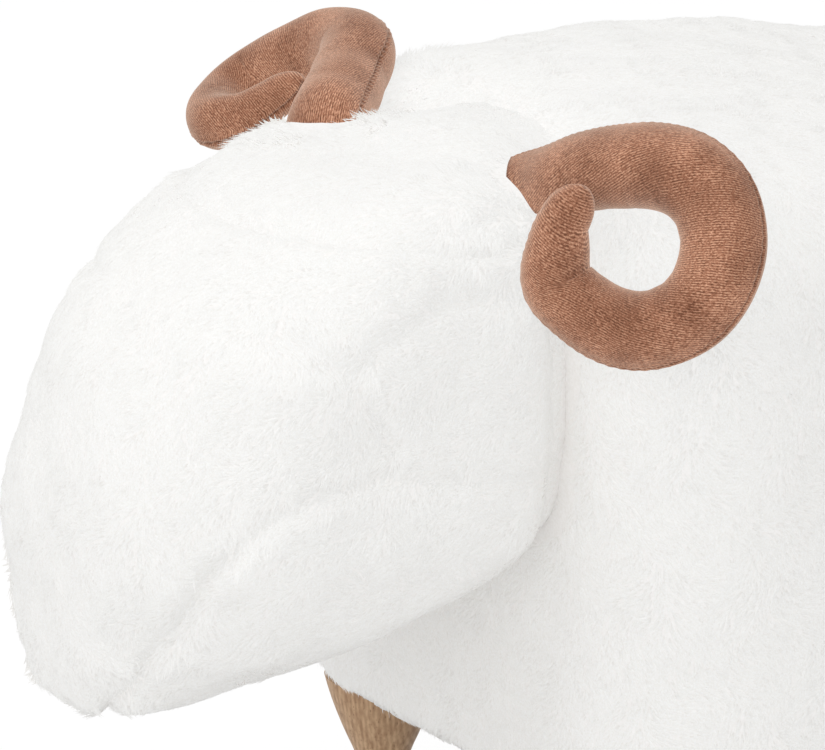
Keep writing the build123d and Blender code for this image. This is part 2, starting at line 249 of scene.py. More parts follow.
left_rib_course = np.array((
    (0.00, 0.566, 0.648, 0.511),
    (0.20, 0.599, 0.648, 0.470),
    (0.35, 0.706, 0.634, 0.314),
    (0.45, 0.786, 0.599, 0.153),
    (0.55, 0.822, 0.567, 0.049),
    (0.65, 0.862, 0.483, -0.156),
    (0.75, 0.861, 0.391, -0.325),
    (0.90, 0.846, 0.330, -0.419),
    (1.00, 0.843, 0.321, -0.432),
))
right_rib_course = np.array((
    (0.00, -0.491, 0.824, 0.282),
    (0.20, -0.503, 0.817, 0.277),
    (0.30, -0.500, 0.820, 0.280),
    (0.38, -0.413, 0.858, 0.306),
    (0.46, -0.648, 0.729, 0.221),
    (0.57, -0.824, 0.552, 0.124),
    (0.65, -0.852, 0.513, 0.104),
    (0.72, -0.885, 0.459, 0.077),
    (0.80, -0.920, 0.389, 0.043),
    (1.00, -0.920, 0.389, 0.043),
))

# Pile: how far the skin lies under the outer form, the size of a lock and the area it takes, the spread
# of its sizes as shares, and how far a stray lock lifts, in millimetres
pile_height = 1.8 * MM
lock_length = 8.5 * MM
lock_width = 1.3 * MM
lock_rise = 0.7 * MM
lock_sink = 0.35 * MM
lock_gather = 1.1 * MM
lock_root_share = 0.12
lock_middle_share = 0.3
lock_ridge_share = 0.3
lock_lean = 0.4
lock_cell = 2.58 * MM**2
length_spread = (0.7, 1.25)
width_spread = (0.7, 1.3)
lift_spread = (0.3, 1.2)
stray_share = 0.1
stray_width_share = 0.35
stray_lift = (0.8, 2.0)

# Where the pile is shorter: the lower edge and its hem, over the legs and on the snout, with the locks'
# length there as a share. Near the horns the locks stand up, and none is kept that ends in a horn. Over
# the lining, less a bare edge, there is none.
edge_height = 14 * MM
edge_lock_share = 0.5
hem_height = 6 * MM
hem_lock_share = 0.35
leg_fringe = 45 * MM
leg_lock_share = 0.95
facing_down = -0.8
snout_share = 0.3
snout_lock_share = 0.8
horn_fringe = 22 * MM
fringe_rise = 4.0 * MM
horn_clearance = 0.2 * MM
horn_margin = 20 * MM
root_overlap = 1.0 * MM
bare_edge = 3 * MM
bare_height = 4 * MM

# Rays from inside a form: how far they look for its surface, and how often the span is halved
longest_ray = 3.0
halvings = 34


def follow(knots, values, at):
    """A smooth curve through values at the knots, read at the given places: cubic pieces, each knot's slope
    being the mean of the slopes on its two sides weighted by the other side's span."""
    knots = np.asarray(knots, float)
    values = np.asarray(values, float)
    span = np.diff(knots)
    slope = np.diff(values, axis=0) / span[:, None]
    middle = (slope[:-1] * span[1:, None] + slope[1:] * span[:-1, None]) / (span[1:] + span[:-1])[:, None]
    slopes = np.concatenate([slope[:1], middle, slope[-1:]])
    at = np.clip(at, knots[0], knots[-1])
    cell = np.clip(np.searchsorted(knots, at, side="right") - 1, 0, len(span) - 1)
    step = span[cell][..., None]
    t = ((at - knots[cell]) / span[cell])[..., None]
    start, end = values[cell], values[cell + 1]
    rise, fall = slopes[cell] * step, slopes[cell + 1] * step
    return (
        (2 * t**3 - 3 * t**2 + 1) * start
        + (t**3 - 2 * t**2 + t) * rise
        + (3 * t**2 - 2 * t**3) * end
        + (t**3 - t**2) * fall
    )


def look_up(table, at):
    """The columns of a table at the given places, its first column being the knots."""
    return follow(table[:, 0], table[:, 1:], at)


def unit(vectors):
    """Vectors scaled to length one."""
    return vectors / np.linalg.norm(vectors, axis=-1, keepdims=True)


def full_turn(around):
    """A row of even angles once round."""
    return np.linspace(0, 2 * math.pi, around, endpoint=False)[None]


def ripple(points, pitch, seed, waves=14):
    """A smooth random field of unit spread: the sum of sine waves of about that pitch, with directions and
    phases drawn from the seed."""
    draw = np.random.default_rng(seed)
    heading = unit(draw.normal(size=(waves, 3)))
    heading *= 2 * math.pi / (pitch * draw.uniform(0.7, 1.5, (waves, 1)))
    phase = draw.uniform(0, 2 * math.pi, waves)
    return np.sin(points @ heading.T + phase).sum(-1) * math.sqrt(2 / waves)


def unevenness(points, ripples):
    """The sum of ripples of the given heights, pitches and seeds."""
    return sum(height * ripple(points, pitch, seed) for height, pitch, seed in ripples)


def soft_corner(first, second, agreement, radius):
    """The larger of two distances, with the corner where they meet rounded by a ball of the radius.
    agreement is the cosine between the two outward directions: inside the corner the place is written as
    a sum of the two directions, and its length less the radius is the distance."""
    a, b = first + radius, second + radius
    square = 1 - agreement**2
    within = (a > agreement * b) & (b > agreement * a)
    rounded = np.sqrt(np.maximum(a**2 + b**2 - 2 * a * b * agreement, 0) / square) - radius
    return np.where(within, rounded, np.maximum(first, second))


def rounded_plan(across, along, half_across, half_along, corner):
    """Distance in plan from a rectangle with rounded corners: negative inside."""
    far_across = np.abs(across) - half_across + corner
    far_along = np.abs(along) - half_along + corner
    outside = np.hypot(np.maximum(far_across, 0), np.maximum(far_along, 0))
    return outside + np.minimum(np.maximum(far_across, far_along), 0) - corner


def plan_heading(across, along, half_across, half_along, corner):
    """The outward direction in plan of a rectangle with rounded corners."""
    far_across = np.abs(across) - half_across + corner
    far_along = np.abs(along) - half_along + corner
    beside = np.maximum(far_across, 0) + (far_across >= far_along) * 1e-9
    before = np.maximum(far_along, 0) + (far_across < far_along) * 1e-9
    length = np.hypot(beside, before)
    return np.sign(across) * beside / length, np.sign(along) * before / length


def body_distance(points):
    """Distance from the body's outer form: leaning walls, a ball-shaped crown and a flat bottom, with the
    corners between them rounded."""
    x, y, z = np.moveaxis(points, -1, 0)
    plan = rounded_plan(x, y - body_middle, half_width, half_length, body_corner)
    wall = plan * math.cos(wall_lean) + (z - underside) * math.sin(wall_lean)
    heading_x, heading_y = plan_heading(x, y - body_middle, half_width, half_length, body_corner)
    rise = points - np.array((0, body_middle - crown_lead, underside + body_height - crown_radius))
    far = np.linalg.norm(rise, axis=-1)
    sideways = (heading_x * rise[..., 0] + heading_y * rise[..., 1]) * math.cos(wall_lean)
    agreement = (sideways + rise[..., 2] * math.sin(wall_lean)) / far
    upper = soft_corner(wall, far - crown_radius, agreement, top_round)
    return soft_corner(upper, underside - z, -math.sin(wall_lean), bottom_round)


def head_row(height):
    """Middle X, middle Y, half width, half depth and corner radius of the head at that height above the
    underside, read from the table of shares."""
    share = height / body_height
    front, rear, half, hang = np.moveaxis(look_up(head_shares, share), -1, 0)
    low = front_face - front * head_reach
    high = front_face - rear * head_reach
    half_wide = half * head_width
    half_deep = (high - low) / 2
    corner = outline_corner_share * np.minimum(half_wide, half_deep)
    return hang * head_width, (low + high) / 2, half_wide, half_deep, corner


def head_distance(points):
    """Distance from the head's outer form: its rounded plan at each height, and its top and bottom."""
    height = points[..., 2] - underside
    middle_x, middle_y, half_wide, half_deep, corner = head_row(height)
    plan = rounded_plan(points[..., 0] - middle_x, points[..., 1] - middle_y, half_wide, half_deep, corner)
    lowest = head_shares[0, 0] * body_height
    highest = head_shares[-1, 0] * body_height
    return np.maximum(plan, np.maximum(lowest - height, height - highest))


def lining_distance(points):
    """Distance from the space over the lining, where no pile is needed: within its outline, less a hem."""
    low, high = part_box("lining")
    half_across = (high.x - low.x) / 2 - bare_edge
    half_along = (high.y - low.y) / 2 - bare_edge
    along = points[..., 1] - (low.y + high.y) / 2
    plan = rounded_plan(points[..., 0], along, half_across, half_along, body_corner)
    return np.maximum(plan, points[..., 2] - underside - bare_height)


def reach(distance, centre, heading):
    """How far each ray from the centre runs to where the distance is zero, found by halving."""
    near = np.zeros(heading.shape[:-1])
    far = np.full(heading.shape[:-1], longest_ray)
    for _ in range(halvings):
        middle = (near + far) / 2
        inside = distance(centre + heading * middle[..., None]) < 0
        near = np.where(inside, middle, near)
        far = np.where(inside, far, middle)
    return (near + far) / 2


def ring_normals(rings):
    """The outward direction at each point of a skin: the cross product of the steps round it and along it."""
    round_step = np.roll(rings, -1, 1) - np.roll(rings, 1, 1)
    along_step = np.gradient(rings, axis=0)
    normals = np.cross(round_step, along_step)
    length = np.linalg.norm(normals, axis=-1, keepdims=True)
    normals = np.where(length > 1e-12, normals / np.maximum(length, 1e-12), 0)
    normals[0] = unit(normals[1].mean(0))
    normals[-1] = unit(normals[-2].mean(0))
    return normals


def photo_place(points):
    """Where points lie in the photograph, in pixels."""
    back = unit(camera_place - camera_target)
    right = unit(np.cross((0, 0, 1), back))
    up = np.cross(back, right)
    ray = points - camera_place
    depth = -(ray @ back)
    across = photo_width / 2 + focal_pixels * (ray @ right) / depth
    down = photo_height / 2 - focal_pixels * (ray @ up) / depth
    return np.stack([across, down], -1), depth


def line_distance(places, line):
    """Shortest distance in the picture from each place to a line of straight runs."""
    shortest = np.full(places.shape[:-1], np.inf)
    line = np.asarray(line, float)
    for start, end in zip(line[:-1], line[1:]):
        run = end - start
        share = np.clip(((places - start) @ run) / (run @ run), 0, 1)
        gap = np.linalg.norm(places - start - share[..., None] * run, axis=-1)
        shortest = np.minimum(shortest, gap)
    return shortest


def head_folds(points):
    """How deep the seams and folds draw the head in: a bell curve of the distance to each line, read in the
    photograph on the seen side and mirrored to the other."""
    middle_x = head_row(points[..., 2] - underside)[0]
    seen = points.copy()
    seen[..., 0] = middle_x + np.abs(points[..., 0] - middle_x)
    places, depth = photo_place(seen)
    drawn = np.zeros(points.shape[:-1])
    for line, deep, breadth in folds:
        gap = line_distance(places, line) * depth / focal_pixels
        drawn = np.maximum(drawn, deep * np.exp(-((gap / breadth) ** 2)))
    return drawn


def body_rings(rows, around):
    """The body's skin under the pile: rays from its middle, spread like the meridians of an egg."""
    rise = np.linspace(-math.pi / 2, math.pi / 2, rows)[:, None]
    turn = full_turn(around)
    centre = np.array((0, body_middle, underside + body_height * body_centre_share))
    heading = np.stack(
        [
            half_width * np.cos(rise) * np.cos(turn),
            half_length * np.cos(rise) * np.sin(turn),
            body_height / 2 * np.sin(rise) * np.ones_like(turn),
        ],
        -1,
    )
    inner = lambda points: body_distance(points) + pile_height
    rings = centre + heading * reach(inner, centre, heading)[..., None]
    normals = ring_normals(rings)
    soft = np.clip((rings[..., 2] - underside - pile_height) / bottom_round, 0, 1)
    lumps = np.clip(unevenness(rings, body_ripples), *body_ripple_limits)
    lumps += unevenness(rings, body_fine_ripples)
    top = look_up(seat_top_rise, photo_place(rings)[0][..., 0])[..., 0]
    lumps += top * np.clip(normals[..., 2], 0, 1) ** 2 * MM
    return rings + normals * (lumps * soft)[..., None]


def head_rings(rows, around):
    """The head's skin under the pile: its rounded plan at each height, closed by a low cap at each end,
    then drawn in along its seams and folds."""
    low_share, high_share = head_shares[0, 0], head_shares[-1, 0]
    share = np.linspace(low_share, high_share, rows)
    cap = np.linspace(0, 1, cap_rows)[:-1]
    share = np.concatenate([np.full(len(cap), low_share), share, np.full(len(cap), high_share)])
    spread = np.concatenate([np.sin(cap * math.pi / 2), np.ones(rows), np.sin(cap * math.pi / 2)[::-1]])
    sag = np.concatenate([1 - cap**2, np.zeros(rows + len(cap))]) * head_cap_depth
    crown = np.concatenate([np.zeros(rows + len(cap)), (1 - cap**2)[::-1]]) * head_cap_depth
    middle_x, middle_y, half_wide, half_deep, corner = head_row(share * body_height)
    half_wide = half_wide - pile_height
    half_deep = half_deep - pile_height
    corner = np.minimum(corner, np.minimum(half_wide, half_deep) * outline_corner_share)
    turn = full_turn(around)
    heading = np.stack([half_wide[:, None] * np.cos(turn), half_deep[:, None] * np.sin(turn)], -1)

    def plan(places):
        return rounded_plan(
            places[..., 0], places[..., 1], half_wide[:, None], half_deep[:, None], corner[:, None]
        )

    outline = heading * reach(plan, np.zeros(2), heading)[..., None] * spread[:, None, None]
    rise = (share - low_share) / (high_share - low_share)
    level = underside + share * body_height + pile_height * (1 - 2 * rise) - sag + crown
    rings = np.stack(
        [
            middle_x[:, None] + outline[..., 0],
            middle_y[:, None] + outline[..., 1],
            level[:, None] * np.ones_like(turn),
        ],
        -1,
    )
    normals = ring_normals(rings)
    aside = np.abs(normals[..., 0])
    lumps = unevenness(rings, head_ripples) + head_top_rise * np.clip(normals[..., 2], 0, 1) ** 2
    ahead = np.clip(left_edge_aside * aside - left_edge_ahead * normals[..., 1], 0, 1)
    lumps += look_up(head_front_rise, share) * ahead**2 * MM
    beside = aside * np.clip((share[:, None] - neck_low_share) / neck_fade_share, 0, 1)
    lumps -= neck_depth * beside * np.exp(-((np.maximum(body_distance(rings), 0) / neck_breadth) ** 2))
    return rings + normals * (lumps - head_folds(rings))[..., None]


def tail_rings(rows, around):
    """The tail's skin: an oval outline at each height with a round closing at the ends."""
    share = np.linspace(0, 1, rows)
    rear, half = np.moveaxis(look_up(tail_shares, share), -1, 0)
    low = rear_face - tail_reach
    high = rear_face + rear * tail_reach - pile_height
    half_wide = half * tail_width - pile_height
    closing = np.clip(np.sin(math.pi * share) * 3.0, 0, 1)
    turn = full_turn(around)
    bottom = underside + tail_top_share * body_height - tail_drop + pile_height
    level = bottom + share * (tail_drop - 2 * pile_height)
    half_deep = (high - low) / 2
    return np.stack(
        [
            (closing * half_wide)[:, None] * np.cos(turn),
            ((low + high) / 2)[:, None] + (closing * half_deep)[:, None] * np.sin(turn),
            level[:, None] * np.ones_like(turn),
        ],
        -1,
    )


def make_piece(name, points, face_sets, finish):
    """A mesh object at the origin from an array of points and arrays of faces with equal numbers of sides."""
    mesh = bpy.data.meshes.new(name)
    corners = np.concatenate([faces.ravel() for faces in face_sets])
    sides = np.concatenate([np.full(len(faces), faces.shape[1]) for faces in face_sets])
    mesh.vertices.add(len(points))
    mesh.loops.add(len(corners))
    mesh.polygons.add(len(sides))
    mesh.vertices.foreach_set("co", points.astype(np.float32).ravel())
    mesh.loops.foreach_set("vertex_index", corners.astype(np.int32))
    mesh.polygons.foreach_set("loop_start", (np.cumsum(sides) - sides).astype(np.int32))
    mesh.update(calc_edges=True)
    mesh.shade_smooth()
    mesh.materials.append(finish)
    piece = bpy.data.objects.new(name, mesh)
    scene.collection.objects.link(piece)
    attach(piece, "root")
    return piece


def skin_piece(name, rings, finish):
    """A closed skin from rings of points: four-sided faces between rings, and the first and last ring drawn
    together to one point each."""
    count, around = rings.shape[:2]
    points = np.vstack([rings[0].mean(0)[None], rings[1:-1].reshape(-1, 3), rings[-1].mean(0)[None]])
    here = np.arange(around)
    after = (here + 1) % around
    start = 1 + np.arange(count - 3)[:, None] * around
    quads = np.stack([start + here, start + after, start + around + after, start + around + here], -1)
    last = 1 + (count - 3) * around
    bottom = np.stack([np.zeros(around, int), 1 + after, 1 + here], -1)
    top = np.stack([np.full(around, len(points) - 1), last + here, last + after], -1)
    return make_piece(name, points, (quads.reshape(-1, 4), bottom, top), finish)


def lay_flat_map(piece, grain):
    """Writes the flat place of each point of a skin into the piece's own map, face corner by face corner."""
    places = np.vstack([grain[:1].mean(1), grain[1:-1].reshape(-1, 2), grain[-1:].mean(1)])
    mesh = piece.data
    corners = np.zeros(len(mesh.loops), np.int32)
    mesh.loops.foreach_get("vertex_index", corners)
    flat = mesh.uv_layers.new(name="grain")
    flat.data.foreach_set("uv", places[corners].astype(np.float32).ravel())


def lay_value(piece, name, grid):
    """Keeps one value for each point of a skin as an attribute of the piece."""
    values = np.concatenate([[grid[0].mean()], grid[1:-1].ravel(), [grid[-1].mean()]])
    kept = piece.data.attributes.new(name, "FLOAT", "POINT")
    kept.data.foreach_set("value", values.astype(np.float32))


def scatter(rings, cell, seed):
    """Places spread evenly by area over a skin and the outward direction at each: equal steps of the summed
    area of its faces, each with a random part of a step added."""
    draw = np.random.default_rng(seed)
    normals = ring_normals(rings)
    following = np.roll(rings, -1, 1)
    across = following[1:] - rings[:-1]
    other = rings[1:] - following[:-1]
    area = (np.linalg.norm(np.cross(across, other), axis=-1) / 2).ravel()
    summed = np.cumsum(area)
    count = int(summed[-1] / cell)
    steps = (np.arange(count) + draw.uniform(0, 1, count)) / count * summed[-1]
    chosen = np.minimum(np.searchsorted(summed, steps), len(area) - 1)
    row, column = np.divmod(chosen, rings.shape[1])
    beside = (column + 1) % rings.shape[1]
    s, t = draw.uniform(0, 1, (2, count, 1))

    def between(grid):
        low = grid[row, column] * (1 - s) + grid[row, beside] * s
        high = grid[row + 1, column] * (1 - s) + grid[row + 1, beside] * s
        return low * (1 - t) + high * t

    directions = between(normals)
    directions /= np.maximum(np.linalg.norm(directions, axis=-1, keepdims=True), 1e-9)
    return between(rings), directions


def comb(points, normals, flow, seed):
    """The lay of the pile: the flow laid into the surface, then turned in it by smooth random fields and a
    little by chance."""
    draw = np.random.default_rng(seed)
    lay = flow - normals * (flow * normals).sum(-1, keepdims=True)
    lay /= np.maximum(np.linalg.norm(lay, axis=-1, keepdims=True), 1e-6)
    side = np.cross(normals, lay)
    turn = 0.5 * ripple(points, 42 * MM, seed + 1) + 0.35 * ripple(points, 13 * MM, seed + 2)
    turn += draw.normal(0, 0.22, len(points))
    return np.cos(turn)[:, None] * lay + np.sin(turn)[:, None] * side


def lock_points(points, normals, lay, seed, shortness, standing):
    """Five points for each lock of pile: a root sunk in the skin, three points round its thickest place and
    a tip. Smooth random fields draw neighbouring tips together and raise or flatten them, and the locks
    that are told to stand rise further. Each face corner also gets the direction it is shaded by: the
    skin's own, leaning a little to its side of the lock, as light that passes from hair to hair makes a
    lock look softer than it is cut. The faces under the lock look into the skin."""
    draw = np.random.default_rng(seed)
    each = (len(points), 1)
    side = np.cross(normals, lay)
    length = lock_length * shortness * draw.uniform(*length_spread, each)
    width = lock_width * draw.uniform(*width_spread, each)
    rise = lock_rise * np.clip(1 + 0.35 * ripple(points, 15 * MM, seed + 1), 0.5, 1.8)[:, None]
    stray = draw.uniform(0, 1, each) < stray_share
    lift = np.where(stray, draw.uniform(*stray_lift, each) * MM, rise * draw.uniform(*lift_spread, each))
    width = np.where(stray, stray_width_share * width, width)
    lift += standing * draw.uniform(0.0, fringe_rise, each)
    gather = np.stack([ripple(points, 11 * MM, seed + k) for k in (2, 3, 4)], -1) * lock_gather
    gather -= normals * (gather * normals).sum(-1, keepdims=True)
    root = points - normals * lock_sink - lay * length * lock_root_share
    middle = points + lay * length * lock_middle_share + normals * rise
    tip = points + lay * length + normals * lift + gather * shortness
    left = middle - side * width / 2
    right = middle + side * width / 2
    ridge = middle + normals * width * lock_ridge_share
    lean = side * lock_lean
    tilt = normals + lay * draw.normal(0, 0.03, each) + side * draw.normal(0, 0.05, each)
    shading = np.stack([tilt, tilt - lean, tilt + lean, tilt, tilt], 1)[:, lock_faces]
    shading[:, lock_under] = -normals[:, None, None]
    return np.stack([root, left, right, ridge, tip], 1), unit(shading)


# A lock's faces by its five points, those that lie under it, each point's place on the lock's cell of the
# flat map, and its height along the lock
lock_faces = np.array(((0, 2, 1), (0, 1, 3), (0, 3, 2), (4, 1, 2), (4, 3, 1), (4, 2, 3)))
lock_under = np.array((0, 3))
lock_map = np.array(((0.08, 0.5), (0.4, 0.1), (0.4, 0.9), (0.45, 0.5), (0.92, 0.5)))
lock_heights = np.array((0.0, 0.45, 0.45, 0.55, 1.0), np.float32)


def pile_piece(name, locks, shading, finish):
    """A stretch of pile from an array of locks and the directions they are shaded by. Its flat map gives
    every lock a cell of its own. Light passes through the pile, as white fibre lets it, and the skin close
    under it casts the shadow of both."""
    count = len(locks)
    faces = (np.arange(count)[:, None, None] * 5 + lock_faces).reshape(-1, 3)
    piece = make_piece(name, locks.reshape(-1, 3), (faces,), finish)
    across = math.ceil(math.sqrt(count))
    row, column = np.divmod(np.arange(count), across)
    cells = np.stack([column, row], -1)[:, None, None] + lock_map[lock_faces]
    flat = piece.data.uv_layers.new(name="OFBake")
    flat.data.foreach_set("uv", (cells / across).astype(np.float32).ravel())
    height = piece.data.attributes.new("along", "FLOAT", "POINT")
    height.data.foreach_set("value", np.tile(lock_heights, count))
    piece.data.normals_split_custom_set(shading.reshape(-1, 3).astype(np.float32))
    piece.visible_shadow = False
    piece.visible_diffuse = False
    return piece


def horn_line(shares, side, samples):
    """A horn's centre line and radius: a smooth curve through the shares, in even steps of its length. Over
    the last stretch the radius follows a quarter of an oval, so that the tip is blunt."""
    root = np.array((side * horn_spread / 2, front_face, underside + horn_root_share * body_height))
    step = np.linalg.norm(np.diff(shares[:, :3], axis=0), axis=1)
    run = np.concatenate([[0], np.cumsum(step)])
    at = np.linspace(0, run[-1], samples)
    dense = follow(run, shares, at)
    closing = (1 - tip_least_share) * tip_round_share
    left = np.clip((run[-1] - at) / closing, 0, 1) * (1 - tip_least_share) + tip_least_share
    full = follow(run, shares, np.array([run[-1] - closing]))[0, 3]
    radius = np.where(left < 1, full * np.sqrt(1 - (1 - left) ** 2), dense[:, 3])
    return root + dense[:, :3] * horn_size, radius * horn_size


def horn_rings(shares, side, face, seam_course, rib_course, samples, around):
    """A horn's skin, the flat place of each of its points on the cloth and its painted crease shade: how deep
    it lies in the rim groove or a pucker, which darkens the velvet there as shade would, with a dark line
    along the cut root. A round section is carried along the centre line, its first direction pointing out of
    the curl. The rim seam is a narrow groove between two low lips, gathered by its stitches, folds pucker the
    inside of the curl, and the root is pressed flat and cut straight. The flat place, in millimetres along
    the ribs and across them, is summed along the centre line and continued round the section by the arc
    from its middle."""
    centres, radius = horn_line(shares, side, samples)
    face = unit(face)
    along = unit(np.gradient(centres, axis=0))
    out = unit(np.cross(along, face))
    if ((centres - centres.mean(0)) * out).sum() < 0:
        out = -out
    up = np.cross(out, along)
    up *= np.sign((up @ face).sum())
    turn = full_turn(around)
    share = np.linspace(0, 1, samples)[:, None]
    gap = (turn - look_up(seam_course, share[:, 0]) + math.pi) % (2 * math.pi) - math.pi
    arc = gap * radius[:, None]
    run = np.linalg.norm(centres[-1] - centres[-2]) * np.arange(samples)[:, None]
    stitch = stitch_swing * np.cos(2 * math.pi * run / stitch_pitch)
    lip = lip_height * np.exp(-(((np.abs(arc) - lip_place) / lip_breadth) ** 2)) * (stitch_mean + stitch)
    groove = -groove_depth * np.exp(-((arc / groove_breadth) ** 2)) * (stitch_mean - stitch)
    inner = np.clip(-np.cos(turn), 0, 1)
    inner = inner * (1 - pucker_fade * inner**4)
    pucker = np.zeros((samples, around))
    draw = np.random.default_rng(pucker_seeds[side])
    for place in draw.uniform(*pucker_places, pucker_count):
        sway = place + pucker_sway * np.sin(turn * 2 + place * 40)
        breadth = draw.uniform(*pucker_breadths)
        pucker -= draw.uniform(*pucker_depths) * MM * np.exp(-(((share - sway) / breadth) ** 2)) * inner
    swell = swell_height * np.sin(share * swell_waves + 2 * np.cos(turn))
    swell += fine_swell_height * np.sin(share * fine_swell_waves + turn)
    size = radius[:, None] + lip + groove + pucker + swell
    near_root = np.exp(-((share / root_press_share) ** 2))
    wide = 1 + root_widening * near_root
    thin = 1 - root_pressing * near_root
    rings = (
        centres[:, None]
        + (size * np.cos(turn) * wide)[..., None] * out[:, None]
        + (size * np.sin(turn) * thin)[..., None] * up[:, None]
    )
    # Painted shade: the velvet is to be darkened where the rim groove and the puckers draw it in, as shade
    # falls there, and a dark line is laid along the cut root
    crease_shade = np.clip(-(groove + pucker_shade * pucker) / crease_depth, 0, 1)
    crease_shade = np.maximum(crease_shade, np.exp(-((share / root_line_share) ** 2)) * np.ones_like(turn))
    rib = look_up(rib_course, share[:, 0])
    rib = unit(rib - face * (rib @ face)[:, None])
    across = np.cross(face, rib)
    step = np.diff(centres, axis=0, prepend=centres[:1])
    swing = np.abs((turn + math.pi) % (2 * math.pi) - math.pi)
    bow = radius[:, None] * (math.pi / 2 - swing)
    u = np.cumsum((step * rib).sum(1))[:, None] + bow * (out * rib).sum(1)[:, None]
    v = np.cumsum((step * across).sum(1))[:, None] + bow * (out * across).sum(1)[:, None]
    grain = np.stack([u, v], -1) / MM
    if (np.cross(out[0], up[0]) @ along[0]) < 0:
        rings, grain, crease_shade = rings[:, ::-1], grain[:, ::-1], crease_shade[:, ::-1]
    cap = np.linspace(0, 1, cap_rows)[:-1, None, None]
    root_cap = centres[0] + (rings[0] - centres[0]) * cap
    lean = np.linspace(0, math.pi / 2, tip_rows)[1:, None, None]
    rest = tip_least_share * tip_round_share * horn_size
    tip_cap = centres[-1] + (rings[-1] - centres[-1]) * np.cos(lean) + along[-1] * rest * np.sin(lean)

    def laid_on(end, extra):
        shift = extra - rings[end]
        return grain[end] + np.stack([shift @ rib[end], shift @ across[end]], -1) / MM

    grain = np.concatenate([laid_on(0, root_cap), grain, laid_on(-1, tip_cap)])
    root_crease_shade, tip_crease_shade = np.repeat(crease_shade[:1], len(cap), 0), np.repeat(crease_shade[-1:], len(lean), 0)
    crease_shade = np.concatenate([root_crease_shade, crease_shade, tip_crease_shade])
    return np.concatenate([root_cap, rings, tip_cap]), grain, crease_shade


def colour(red, green, blue):
    """A colour as it is written on a screen, from 0 to 255, as the shader takes it."""
    share = np.array((red, green, blue)) / 255
    plain = np.where(share <= 0.04045, share / 12.92, ((share + 0.055) / 1.055) ** 2.4)
    return (*plain.tolist(), 1.0)


def new_finish(name):
    """An empty material with its shader: the node list, the link function and the shader node."""
    finish = bpy.data.materials.new(name)
    finish.use_nodes = True
    nodes = finish.node_tree.nodes
    shader = nodes["Principled BSDF"]
    return finish, nodes, finish.node_tree.links.new, shader


def settle(node, values):
    """Sets a node's inputs by their names."""
    for name, value in values.items():
        node.inputs[name].default_value = value


def ramp(nodes, link, factor, stops):
    """The colour of a ramp with the given (place, colour) stops, read by a factor output."""
    node = nodes.new("ShaderNodeValToRGB")
    node.color_ramp.elements[0].position, node.color_ramp.elements[0].color = stops[0]
    node.color_ramp.elements[1].position, node.color_ramp.elements[1].color = stops[-1]
    for place, shade in stops[1:-1]:
        node.color_ramp.elements.new(place).color = shade
    link(factor, node.inputs["Fac"])
    return node.outputs["Color"]


def noise_on(nodes, link, place, scale, detail, roughness=0.5):
    """Noise read at a place output."""
    noise = nodes.new("ShaderNodeTexNoise")
    settle(noise, {"Scale": scale, "Detail": detail, "Roughness": roughness})
    link(place, noise.inputs["Vector"])
    return noise


def bands_on(nodes, link, place, scale, distortion, detail, detail_scale):
    """Wave bands read at a place output."""
    bands = nodes.new("ShaderNodeTexWave")
    settle(bands, {"Scale": scale, "Distortion": distortion, "Detail": detail, "Detail Scale": detail_scale})
    link(place, bands.inputs["Vector"])
    return bands


def stretched(nodes, link, place, factors):
    """A place output stretched by the given factors."""
    turn = nodes.new("ShaderNodeMapping")
    settle(turn, {"Scale": factors})
    link(place, turn.inputs["Vector"])
    return turn.outputs["Vector"]


def worked_out(nodes, link, operation, *terms):
    """The value of a Math node on terms that are numbers or outputs of other nodes."""
    node = nodes.new("ShaderNodeMath")
    node.operation = operation
    for socket, term in zip(node.inputs, terms):
        if isinstance(term, float):
            socket.default_value = term
        else:
            link(term, socket)
    return node.outputs["Value"]


def product(nodes, link, first, second):
    """One colour output times another."""
    mix = nodes.new("ShaderNodeMix")
    mix.data_type = "RGBA"
    mix.blend_type = "MULTIPLY"
    mix.inputs["Factor"].default_value = 1.0
    link(first, mix.inputs["A"])
    link(second, mix.inputs["B"])
    return mix.outputs["Result"]


def object_noise(nodes, link, scale, detail):
    """The noise at the Object coordinates, as a factor output."""
    place = nodes.new("ShaderNodeTexCoord").outputs["Object"]
    return noise_on(nodes, link, place, scale, detail).outputs["Fac"]


def bump(nodes, link, height, shader, strength, distance):
    """A bump on the shader from a height output."""
    node = nodes.new("ShaderNodeBump")
    settle(node, {"Strength": strength, "Distance": distance})
    link(height, node.inputs["Height"])
    link(node.outputs["Normal"], shader.inputs["Normal"])


def named_value(nodes, name):
    """The value that a piece keeps under the name."""
    node = nodes.new("ShaderNodeAttribute")
    node.attribute_name = name
    return node.outputs["Fac"]


plain_white = colour(255, 255, 255)
fibre_surface = {"Roughness": 1.0, "Specular IOR Level": 0.05}


def pile_finish():
    """White pile: warmer and a little darker at the root, the darkening being painted shade deep in the pile,
    flecked with slightly different whites as fine hair is."""
    finish, nodes, link, shader = new_finish("plush_pile")
    # Painted shade: the root colour is darker than the tip, as shade deep in the pile would make it
    root, middle, tip = colour(240, 238, 235), colour(251, 251, 250), colour(254, 254, 253)
    tone = ramp(nodes, link, named_value(nodes, "along"), ((0.0, root), (0.5, middle), (1.0, tip)))
    fleck = object_noise(nodes, link, scale=1300, detail=1.0)
    shade = ramp(nodes, link, fleck, ((0.35, colour(250, 249, 247)), (0.65, plain_white)))
    link(product(nodes, link, tone, shade), shader.inputs["Base Color"])
    settle(shader, fibre_surface)
    return finish


def backing_finish():
    """The knitted backing and the foot of the pile under the locks."""
    finish, nodes, link, shader = new_finish("plush_backing")
    knit = object_noise(nodes, link, scale=700, detail=4.0)
    tone = ramp(nodes, link, knit, ((0.25, colour(244, 242, 239)), (0.75, colour(253, 252, 251))))
    link(tone, shader.inputs["Base Color"])
    bump(nodes, link, knit, shader, strength=0.3, distance=0.3 * MM)
    settle(shader, fibre_surface)
    return finish


